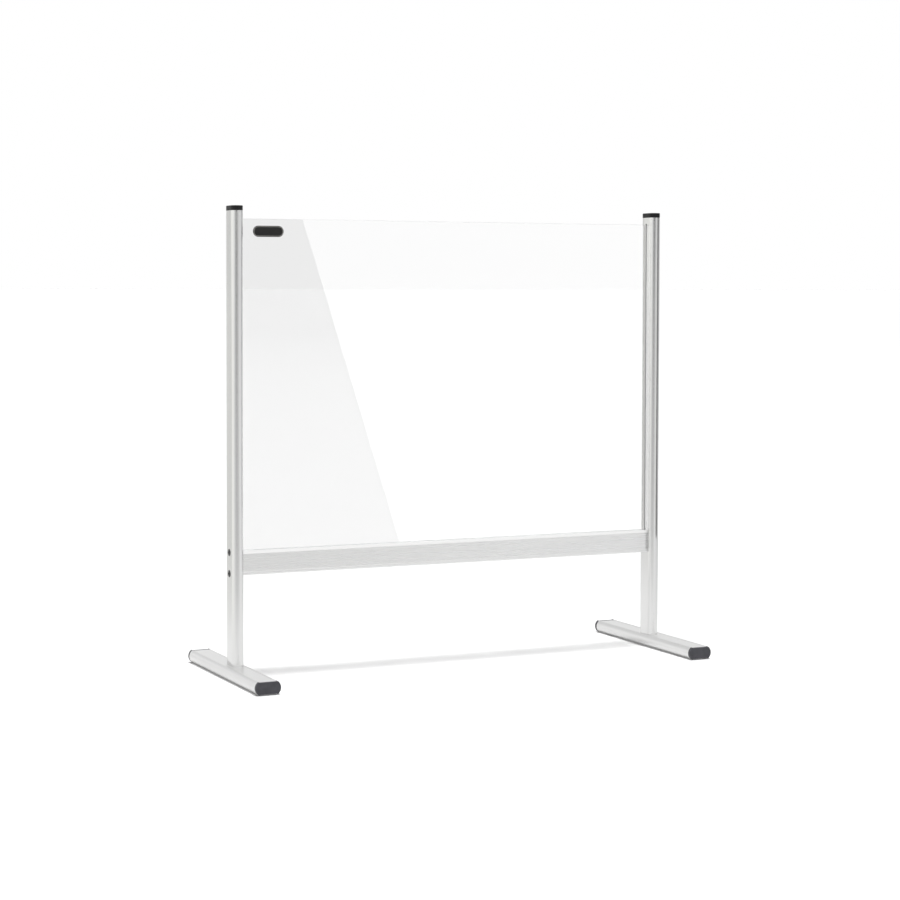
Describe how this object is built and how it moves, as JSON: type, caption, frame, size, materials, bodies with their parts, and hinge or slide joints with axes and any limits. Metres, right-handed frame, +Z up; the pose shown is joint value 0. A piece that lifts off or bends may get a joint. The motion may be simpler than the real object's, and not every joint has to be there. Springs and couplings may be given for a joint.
{
  "type": "sneeze guard",
  "caption": "Free-standing counter screen: clear panel between two aluminium posts on flat feet, with a cross rail and a pass-through gap below it.",
  "frame": {"origin": "on the table, midway between the two feet", "axes": "+X to the right along the rail, -Y to the front (badge side), +Z up"},
  "size_m": [0.986, 0.4, 0.915],
  "materials": {
    "anodised_aluminium": "satin anodised extrusion",
    "clear_acrylic": "clear polished sheet",
    "black_plastic": "moulded, fine grain",
    "charcoal_plastic": "moulded, fine grain",
    "seal_rubber": "soft extruded seal",
    "pad_rubber": "ribbed anti-slip rubber",
    "black_steel": "black oxide",
    "zinc_steel": "bright zinc plated",
    "badge": "plain domed badge with a thin grey line"
  },
  "bodies": {
    "root": {"left_post": "anodised_aluminium", "right_post": "anodised_aluminium", "left_foot": "anodised_aluminium", "right_foot": "anodised_aluminium", "bottom_rail": "anodised_aluminium", "screen_panel": "clear_acrylic", "left_post_cap": "black_plastic", "right_post_cap": "black_plastic", "left_foot_front_cap": "charcoal_plastic", "left_foot_rear_cap": "charcoal_plastic", "right_foot_front_cap": "charcoal_plastic", "right_foot_rear_cap": "charcoal_plastic", "left_slot_seal": "seal_rubber", "right_slot_seal": "seal_rubber", "rail_slot_seal": "seal_rubber", "left_foot_pads": "pad_rubber", "right_foot_pads": "pad_rubber", "left_rail_screws": "black_steel", "right_rail_screws": "black_steel", "left_foot_bolts": "zinc_steel", "right_foot_bolts": "zinc_steel", "left_foot_washers": "zinc_steel", "right_foot_washers": "zinc_steel", "corner_badge": "badge"}
  },
  "joints": []
}
